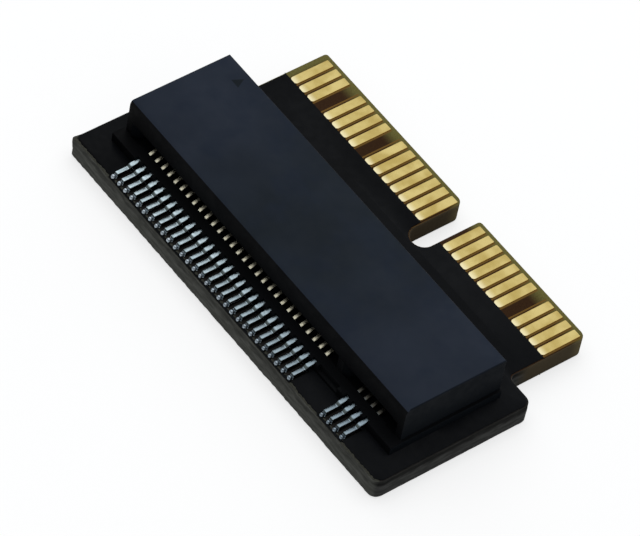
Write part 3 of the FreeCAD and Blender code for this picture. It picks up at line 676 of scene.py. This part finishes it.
def solder_heights(x, beyond_toe, size, shift):
    """Height of the solder over its pad, from the distance x off the contact's plane and the
    distance beyond its toe: bare + (film - bare + fillet) x (1 - distance to the foot /
    reach)^power, or the ball's lift + square root of (radius^2 - distance to its middle^2)."""
    off_side = np.maximum(np.abs(x) - CONTACT_WIDTH / 2, 0)
    off_end = np.maximum(np.maximum(beyond_toe, -FOOT_LENGTH - beyond_toe), 0)
    share = np.clip(1 - np.hypot(off_side / SIDE_REACH, off_end / END_REACH), 0, 1)
    fillet = BARE + (FILM - BARE + FILLET_HEIGHT) * share ** FILLET_POWER
    rest = (BALL_RADIUS * size) ** 2 - x ** 2 - (beyond_toe - BALL_REACH - shift) ** 2
    ball = np.where(rest > 0, BALL_LIFT + np.sqrt(np.clip(rest, 0, None)), 0)
    return np.maximum(fillet, ball)


# %% Skin over each pad
ACROSS_STEPS, FOOT_STEPS, BALL_STEPS = 19, 16, 30
FOOT_STEPS_END, BALL_STEPS_START = -0.12 * MM, -0.08 * MM
SIDE_RIM_POWER, END_RIM_POWER = 10, 40
across_share = np.linspace(-1, 1, ACROSS_STEPS)
beyond_steps = np.concatenate([
    np.linspace(-FOOT_LENGTH - pad_margin, FOOT_STEPS_END, FOOT_STEPS),
    np.linspace(BALL_STEPS_START, pad_margin, BALL_STEPS)])
along_share = (beyond_steps / (FOOT_LENGTH / 2 + pad_margin)
               + FOOT_LENGTH / (FOOT_LENGTH + 2 * pad_margin))
rim_across = np.sqrt(1 - across_share ** SIDE_RIM_POWER)[None, :]
rim_along = np.sqrt(np.clip(1 - along_share ** END_RIM_POWER, 0, 1))[:, None]
grid = np.arange(rim_along.size * rim_across.size).reshape(rim_along.size, -1)
under = grid.size
skin = np.stack([grid[:-1, :-1], grid[:-1, 1:], grid[1:, 1:], grid[1:, :-1]], axis=-1).reshape(-1, 4)
border = np.concatenate([grid[0], grid[1:, -1], grid[-1, -2::-1], grid[-2:0:-1, 0]])
wall = np.stack([np.roll(border, -1), border, border + under, np.roll(border, -1) + under], axis=-1)
solder_kinds = [skin, wall, (border + under)[None, ::-1]]


def solder_row(row, groups, toe_line, outward):
    """A closed skin over each pad of a row: the heights above, brought down to the pad at its
    rim, and a flat underside. `outward` is the way along Y in which the toes point."""
    planes = np.concatenate(list(groups.values()))
    size = dice.uniform(*BALL_SIZES, len(planes))[:, None, None]
    shift = dice.uniform(-BALL_SHIFT, BALL_SHIFT, len(planes))[:, None, None]
    x, beyond = np.meshgrid(across_share * PAD_HALF, beyond_steps)
    height = solder_heights(x[None], beyond[None], size, shift) * rim_across * rim_along
    place = [x[None] + planes[:, None, None], toe_line + outward * beyond[None]]
    top = np.stack(np.broadcast_arrays(*place, pad_high.z + height), axis=-1)
    bottom = np.stack(np.broadcast_arrays(*place, pad_high.z - SOLDER_SINK + height * 0), axis=-1)
    copies = np.concatenate([top, bottom], axis=1)
    add_copies(f"solder_beads_{row}", copies, solder_kinds, "solder", [f"{row}_solder"],
               smooth_degrees=60)


solder_row("front", front_planes, toe, -1)
solder_row("rear", rear_planes, rear_toe, 1)

# %% [markdown]
# ## Gold edge fingers
#
# Each finger is a thin plate with round corners, plated after etching, so its top edge is a
# little rounded and rolls down to the board. We carry one outline up through a few levels and
# draw it in by the arc of that edge: inset = radius x (1 - cosine) while height = radius x
# sine.

# %% Plates
INNER_CORNER, OUTER_CORNER = 0.15 * MM, 0.06 * MM
EDGE_INSET, EDGE_STEPS, EDGE_FOOT = 0.045 * MM, 5, 0.3


def finger_rings(length, thickness):
    """Rings of one finger from y = 0, its inner end, to y = length, from z = 0 up."""
    angle = np.linspace(0, np.pi / 2, EDGE_STEPS)
    insets = np.concatenate([[0], EDGE_INSET * (1 - np.cos(angle))])
    lifts = np.concatenate([[0], thickness * (EDGE_FOOT + (1 - EDGE_FOOT) * np.sin(angle))])
    rings = []
    for inset, lift in zip(insets, lifts):
        side = FINGER_WIDTH / 2 - inset
        corners = [(-side, inset), (side, inset), (side, length - inset), (-side, length - inset)]
        outline = rounded(corners, [INNER_CORNER] * 2 + [OUTER_CORNER] * 2, closed=True)
        rings.append(np.column_stack([outline, np.full(len(outline), lift)]))
    return np.array(rings)


plate = finger_rings(finger_high.y - finger_low.y, finger_high.z - finger_low.z)
for face in ("top", "bottom"):
    for letter in "abcde":
        low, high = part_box(f"fingers_{face}_{letter}")
        count = round((high.x - low.x - FINGER_WIDTH) / FINGER_PITCH) + 1
        copies = np.repeat(plate[None], count, axis=0)
        copies[..., 0] += (low.x + FINGER_WIDTH / 2 + FINGER_PITCH * np.arange(count))[:, None, None]
        copies[..., 1] += low.y
        copies[..., 2] = low.z + copies[..., 2] if face == "top" else high.z - copies[..., 2]
        add_copies(f"plated_fingers_{face}_{letter}", copies, ring_faces(*plate.shape[:2]),
                   "gold_plating", [f"fingers_{face}_{letter}"], smooth_degrees=60)

# %% [markdown]
# ## A routed board edge
#
# The board was cut out by a router and snapped from its panel along the near edge, so that
# wall wavers by a few hundredths of a millimetre, the lacquer is rubbed back from its rim by a
# varying amount, and a small burr is left on the near left corner. The right end wavers less
# and the other edges hardly. Each half of the tongue is rounder at its right corner. The waver
# is a mean of sine waves around the outline, with seeded phases, whose lengths run from a few
# millimetres down to a third of one.

# %% Outline of the board
BODY_RADIUS, STEP_RADIUS, SNAPPED_RADIUS = 0.5 * MM, 0.3 * MM, 0.16 * MM
TONGUE_LEFT_RADIUS, TONGUE_RIGHT_RADIUS = 0.18 * MM, 0.42 * MM
TONGUE_LENGTH = 4.65 * MM
SLOT_MIDDLE, SLOT_WIDTH, SLOT_DEPTH, SLOT_ROUND = 1.38 * MM, 1.3 * MM, 3.6 * MM, 0.49
EDGE_SPACING = 0.07 * MM
CUT_CORNER = 0.01 * MM
side, near, far = board_high.x, board_low.y, board_high.y
step_line = far - TONGUE_LENGTH


def board_outline(end, left_radius, right_radius):
    """The T outline, anticlockwise, with its points evenly spaced. The tongue ends at `end`."""
    left, right = SLOT_MIDDLE - SLOT_WIDTH / 2, SLOT_MIDDLE + SLOT_WIDTH / 2
    bottom = far - SLOT_DEPTH
    corners = [(-side, near), (side, near), (side, step_line), (TONGUE_HALF, step_line),
               (TONGUE_HALF, end), (right, end), (right, bottom), (left, bottom), (left, end),
               (-TONGUE_HALF, end), (-TONGUE_HALF, step_line), (-side, step_line)]
    body, slot = BODY_RADIUS, SLOT_WIDTH * SLOT_ROUND
    reach = [SNAPPED_RADIUS, body, body, STEP_RADIUS, right_radius, left_radius, slot, slot,
             right_radius, left_radius, STEP_RADIUS, body]
    return evenly(rounded(corners, reach, closed=True), EDGE_SPACING, closed=True)


def outward_of(outline):
    """Unit vectors that point out of an anticlockwise outline, square to it."""
    tangent = np.roll(outline, -1, axis=0) - np.roll(outline, 1, axis=0)
    tangent /= np.linalg.norm(tangent, axis=1, keepdims=True)
    return np.stack([tangent[:, 1], -tangent[:, 0]], axis=1)


def waver(outline, lengths, seed):
    """A smooth random value from about -1 to 1 at each point: the mean of sine waves of the
    given lengths over two slanted directions, each with its own phase."""
    phase = np.random.default_rng(seed).uniform(0, 2 * np.pi, (2, len(lengths)))
    rates = 2 * np.pi / np.asarray(lengths)
    slants = np.array([[1.0, 0.6], [0.96, -1.37]])
    waves = np.sin((outline @ slants.T)[:, :, None] * rates + phase)
    return waves.mean(axis=(1, 2))[:, None]


# %% Solids with holes
def stacked_plate(name, rings, holes, slot, replaces, smooth_degrees=50):
    """A plate from a stack of outline rings, an (m, n, 3) array going up, with straight holes
    through it. Walls are quads between neighbouring rings; each flat face is filled between
    the outline and the holes."""
    levels = rings[[0, -1], 0, 2]
    stacks = [rings] + [np.dstack([np.tile(hole, (2, 1, 1)), np.repeat(levels, len(hole)).reshape(2, -1)])
                        for hole in holes]
    starts = np.cumsum([0] + [stack.size // 3 for stack in stacks])
    walls = [ring_faces(*stack.shape[:2])[0] + start for stack, start in zip(stacks, starts)]
    mesh = bpy.data.meshes.new(name)
    points = np.concatenate([stack.reshape(-1, 3) for stack in stacks])
    mesh.from_pydata(points.tolist(), [], face_list(walls))
    shape = bmesh.new()
    shape.from_mesh(mesh)
    for upper in (False, True):
        rim = [edge for edge in shape.edges
               if edge.is_boundary and (edge.verts[0].co.z > levels.mean()) == upper]
        bmesh.ops.triangle_fill(shape, use_beauty=False, edges=rim)
    bmesh.ops.recalc_face_normals(shape, faces=shape.faces)
    shape.to_mesh(mesh)
    shape.free()
    return dress(name, mesh, slot, replaces, smooth_degrees)


def circle(middle_x, middle_y, radius, steps=40):
    """Points of a circle."""
    angle = np.arange(steps) * 2 * np.pi / steps
    return np.stack([middle_x + radius * np.cos(angle), middle_y + radius * np.sin(angle)], axis=1)


# %% The laminate core
WAVER_LENGTHS = np.array([5.3, 2.9, 1.7, 0.95, 0.52, 0.34]) * MM
ROUGH_DEPTH, CLEAN_SHARE, END_WALL_SHARE = 0.045 * MM, 0.07, 0.3
BEVEL, BEVEL_STEP = 0.05 * MM, 0.4
BURR_SIZE, BURR_REACH = 0.09 * MM, 0.3 * MM
PEG_RADII, PEG_SETBACK = {-10.05 * MM: 0.6 * MM, 10.05 * MM: 0.85 * MM}, 3.02 * MM
RIDGE, RIM_SEED = 0.02 * MM, 16
peg_line = block_front + PEG_SETBACK
peg_holes = [circle(x, peg_line, radius) for x, radius in PEG_RADII.items()]


def rough_share(outline):
    """1 on the snapped near edge, less on the right end wall, and almost 0 elsewhere."""
    near_share = np.clip((near + BODY_RADIUS - outline[:, 1]) / BODY_RADIUS, 0, 1)
    right_share = END_WALL_SHARE * (outline[:, 0] > side - BODY_RADIUS)
    return np.maximum(np.maximum(near_share, right_share), CLEAN_SHARE)[:, None]


def burr(outline):
    """A bump on the near left corner: size x e^-(distance / reach)^2."""
    away = np.hypot(outline[:, 0] + side, outline[:, 1] - near)[:, None]
    return BURR_SIZE * np.exp(-(away / BURR_REACH) ** 2)


outline = board_outline(far, TONGUE_LEFT_RADIUS, TONGUE_RIGHT_RADIUS)
outwards = outward_of(outline)


def board_ring(level, inset, seed, burr_share=0.0):
    """The outline drawn in by an inset and moved by the rough waver of one level."""
    waver_out = ROUGH_DEPTH * rough_share(outline) * waver(outline, WAVER_LENGTHS, seed)
    moved = outline + outwards * (waver_out - inset + burr_share * burr(outline))
    return np.column_stack([moved, np.full(len(moved), level)])


# From the bottom up: level, inset, seed of the waver and share of the burr
base, top = board_low.z, board_high.z
ridge_inset = -RIDGE * rough_share(outline)
levels = [(base, BEVEL, 11), (base + BEVEL, 0, 11),
          (base + 0.25 * MM, 0, 12), (base + 0.45 * MM, 0, 13),
          (base + 0.62 * MM, ridge_inset, 14, 0.2), (base + 0.76 * MM, ridge_inset, 15, 0.5),
          (base + 0.92 * MM, 0, RIM_SEED, 1.0), (top - BEVEL, 0, RIM_SEED, 1.0),
          (top - BEVEL * BEVEL_STEP, BEVEL * BEVEL_STEP, RIM_SEED, 0.9), (top, BEVEL, RIM_SEED, 0.7)]
stacked_plate("laminate_core", np.array([board_ring(*ring) for ring in levels]), peg_holes,
              "laminate", ["circuit_board"])

# %% [markdown]
# ## Lacquer films
#
# The lacquer lies on both faces and stops in a straight line where the fingers begin. Windows
# in the upper film leave the pads bare. On the near edge it is rubbed back from the rim.

# %% Solder mask films
WINDOW_MARGIN, PAD_ROOM, WINDOW_CORNER = 0.04 * MM, 0.03 * MM, 0.05 * MM
RUB_MEAN, RUB_SPREAD, RUB_LEAST = 0.085 * MM, 0.11 * MM, 0.015 * MM
RUB_LENGTHS, RUB_SEED = WAVER_LENGTHS * 0.7, 5
MASK_ROLL, MASK_SWELL = 0.025 * MM, 0.004 * MM
BOARD_CLEARANCE = 0.005 * MM
NAIL_INNER = 9.56 * MM


def window(left, right, front, back):
    """A rectangle in plan with small round corners, anticlockwise."""
    corners = [(left, front), (right, front), (right, back), (left, back)]
    return rounded(corners, WINDOW_CORNER, closed=True)


def pad_window(contacts_low, contacts_high, pads_low, pads_high):
    """The window around one group of pads, from its contacts' ends and its pads' lines."""
    room = PAD_ROOM + WINDOW_MARGIN
    return window(contacts_low.x - room, contacts_high.x + room,
                  pads_low.y - WINDOW_MARGIN, pads_high.y + WINDOW_MARGIN)


windows = [pad_window(wide_low, wide_high, pad_low, pad_high),
           pad_window(narrow_low, narrow_high, pad_low, pad_high),
           pad_window(rear_low, rear_high, rear_pad_low, rear_pad_high),
           pad_window(rear_narrow_low, rear_narrow_high, rear_pad_low, rear_pad_high),
           window(nail_low.x, -NAIL_INNER, nail_low.y, nail_high.y),
           window(NAIL_INNER, nail_high.x, nail_low.y, nail_high.y)]
film_line = board_outline(mask_high.y, CUT_CORNER, CUT_CORNER)
film_outwards = outward_of(film_line)
film_share = rough_share(film_line)
film_waver = ROUGH_DEPTH * film_share * waver(film_line, WAVER_LENGTHS, RIM_SEED)
rubbed = film_share * (RUB_MEAN + RUB_SPREAD * waver(film_line, RUB_LENGTHS, RUB_SEED))
rubbed = BEVEL + np.clip(rubbed, RUB_LEAST, None)
on_cut = film_line[:, 1:] > mask_high.y - BOARD_CLEARANCE
for name, node, low, high, holes in (
        ("lacquer_top", "solder_mask_top", mask_low.z, mask_high.z, windows),
        ("lacquer_bottom", "solder_mask_bottom", under_high.z, under_low.z, [])):
    film_rings = []
    for level, roll in ((low, 0), ((low + high) / 2, MASK_SWELL), (high, MASK_ROLL)):
        inset = np.where(on_cut, 0, rubbed - film_waver + roll)
        moved = film_line - film_outwards * inset
        film_rings.append(np.column_stack([moved, np.full(len(moved), level)]))
    stacked_plate(name, np.array(film_rings), holes + peg_holes, "solder_mask", [node])

# %% [markdown]
# ## The socket moulding
#
# The moulding's form is already right in the solid: block, mouth, jaw, combs, key rib and pegs.
# A moulded corner is never sharp, though, and a sharp one catches no light. So a copy of the
# solid's mesh is merged and its flat faces are joined again, and a Bevel modifier rounds every
# corner by a few hundredths of a millimetre. Narrow comb walls limit it by themselves.

# %% Rounded copy of the moulding
MOULD_RADIUS, MOULD_SEGMENTS, MOULD_ANGLE = 0.05 * MM, 2, 30
WELD_DISTANCE, FLAT_ANGLE = 0.0002 * MM, 1
moulding_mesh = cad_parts["socket_housing"].data.copy()
moulding_mesh.name = "socket_moulding"
moulding_mesh.materials.clear()
shape = bmesh.new()
shape.from_mesh(moulding_mesh)
bmesh.ops.remove_doubles(shape, verts=shape.verts, dist=WELD_DISTANCE)
bmesh.ops.dissolve_limit(shape, angle_limit=math.radians(FLAT_ANGLE), verts=shape.verts,
                         edges=shape.edges)
shape.to_mesh(moulding_mesh)
shape.free()
moulding = dress("socket_moulding", moulding_mesh, "socket_plastic", ["socket_housing"],
                 smooth_degrees=35)
corner = moulding.modifiers.new("moulded corners", "BEVEL")
corner.width = MOULD_RADIUS
corner.segments = MOULD_SEGMENTS
corner.limit_method = "ANGLE"
corner.angle_limit = math.radians(MOULD_ANGLE)
corner.use_clamp_overlap = True
corner.harden_normals = True

# %% [markdown]
# ## Finishes for the plain solids
#
# The pads, the hold-down nails and the nails' solder keep their CAD solids, which have the
# right shape as they are. Only their material slots change.

# %% Materials on the kept nodes
KEPT = {"front_pads": "tinned_pad", "rear_pads": "tinned_pad", "hold_down_pads": "tinned_pad",
        "hold_down_solder": "solder", "hold_down_left": "nail_metal",
        "hold_down_right": "nail_metal"}
for name, slot in KEPT.items():
    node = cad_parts[name]
    if not node.material_slots:
        node.data.materials.append(None)
    for place in node.material_slots:
        place.link = "OBJECT"
        place.material = FINISHES[slot]
print("kept CAD nodes:", ", ".join(KEPT))

# %% [markdown]
# ## Floor
#
# A pale floor shows the outline and keeps a soft contact shadow. Part of its white is its own
# colour under the light. The rest is emission that only the camera, glossy surfaces and clear
# ones see, so no extra light is spent on making it white.

# %% Floor
FLOOR_SIZE, FLOOR_LEVEL = 2.0, -0.004 * MM
FLOOR_TONE, FLOOR_GLOW = 0.36, 0.70
reach = FLOOR_SIZE / 2
floor_mesh = bpy.data.meshes.new("floor")
floor_mesh.from_pydata([(-reach, -reach, FLOOR_LEVEL), (reach, -reach, FLOOR_LEVEL),
                        (reach, reach, FLOOR_LEVEL), (-reach, reach, FLOOR_LEVEL)], [],
                       [(0, 1, 2, 3)])
floor = add_object("floor", floor_mesh)
floor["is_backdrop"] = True
paper = Finish("floor_paper", Base_Color=(FLOOR_TONE, FLOOR_TONE, FLOOR_TONE, 1), Roughness=1.0,
               Specular_IOR_Level=0.0, Emission_Color=(1, 1, 1, 1))
light_path = paper.nodes.new("ShaderNodeLightPath")
seen = light_path.outputs["Is Camera Ray"]
for kind in ("Is Glossy Ray", "Is Transmission Ray"):
    seen = paper.maths("MAXIMUM", seen, light_path.outputs[kind])
paper.feed("Emission Strength", paper.maths("MULTIPLY", seen, FLOOR_GLOW))
floor_mesh.materials.append(paper.material)
print("floor:", FLOOR_SIZE, "m square")

# %% [markdown]
# ## Light
#
# One large soft panel hangs high behind the card's left end and leans over it, so the top
# faces and the metal mirror it while the socket's front and right end stay in shade. Its
# brightness is close to 1, and the world adds an even, slightly cool fill of a third of that. So
# a matt face that looks straight up shows 0.83 of its colour, one that looks to the front shows
# 0.33, and a level metal, which mirrors the panel and the fill together, shows about 1.35.

# %% World and panel
def direction(azimuth, elevation):
    """A unit vector at an azimuth (0 is +Y, 90 is +X) and an elevation, in degrees: sine of the
    azimuth x cosine of the elevation, cosine x cosine, and sine of the elevation."""
    turn, rise = math.radians(azimuth), math.radians(elevation)
    return np.array([math.sin(turn) * math.cos(rise), math.cos(turn) * math.cos(rise), math.sin(rise)])


WORLD_COLOUR, WORLD_STRENGTH = (0.95, 0.98, 1.0, 1), 0.33
PANEL_AZIMUTH, PANEL_ELEVATION, PANEL_DISTANCE, PANEL_SIZE = -50, 62, 0.62, 1.2
PANEL_COLOUR, PANEL_RADIANCE = (0.98, 0.99, 1.0), 1.08
world = bpy.data.worlds.new("studio")
bpy.context.scene.world = world
world.use_nodes = True
background = world.node_tree.nodes["Background"]
background.inputs["Color"].default_value = WORLD_COLOUR
background.inputs["Strength"].default_value = WORLD_STRENGTH

# The panel faces the card; its power is radiance x pi x area
light = bpy.data.lights.new("sky_panel", "AREA")
light.shape = "SQUARE"
light.size = PANEL_SIZE
light.energy = PANEL_RADIANCE * math.pi * PANEL_SIZE ** 2
light.color = PANEL_COLOUR
panel = add_object("sky_panel", light)
panel.location = PANEL_DISTANCE * direction(PANEL_AZIMUTH, PANEL_ELEVATION)
panel.rotation_euler = np.radians([90 - PANEL_ELEVATION, 0, 180 - PANEL_AZIMUTH])
print("sky panel, power in watts:", round(light.energy, 2))

# %% [markdown]
# ## Camera
#
# A long lens looks at the card from beyond its right front corner, well above it, and is rolled
# a little. Its place is stated by the point it looks at, two angles, the distance and the roll.

# %% Camera
AIM = np.array([0.462, -1.502, 1.25]) * MM
CAMERA_AZIMUTH, CAMERA_ELEVATION, CAMERA_ROLL = -44.054, 49.691, 11.900
CAMERA_DISTANCE = 255.02 * MM
SENSOR_WIDTH, LENS, CLIP_START, CLIP_END = 36.0, 307.09, 0.01, 10
forward = direction(CAMERA_AZIMUTH, -CAMERA_ELEVATION)
roll = math.radians(CAMERA_ROLL)
level_right = np.cross(forward, (0, 0, 1))
level_right /= np.linalg.norm(level_right)
level_up = np.cross(level_right, forward)
right = math.cos(roll) * level_right + math.sin(roll) * level_up
up = math.cos(roll) * level_up - math.sin(roll) * level_right
lens = bpy.data.cameras.new("camera")
lens.sensor_width = SENSOR_WIDTH
lens.lens = LENS
lens.clip_start, lens.clip_end = CLIP_START, CLIP_END
camera = add_object("camera", lens)
pose = np.eye(4)
pose[:3] = np.column_stack([right, up, -forward, AIM - forward * CAMERA_DISTANCE])
camera.matrix_world = Matrix(pose.tolist())
bpy.context.scene.camera = camera
bpy.context.scene.view_settings.view_transform = "Standard"
print("camera at (mm):", [round(v / MM, 1) for v in camera.location])

# %% [markdown]
# ## The dressed card's size
#
# The dressed card must keep the CAD size. The last line prints the box of the whole scene.

# %% Print the size
low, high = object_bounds()
print("visual box in mm:", [round(v / MM, 2) for v in (*low, *high)])
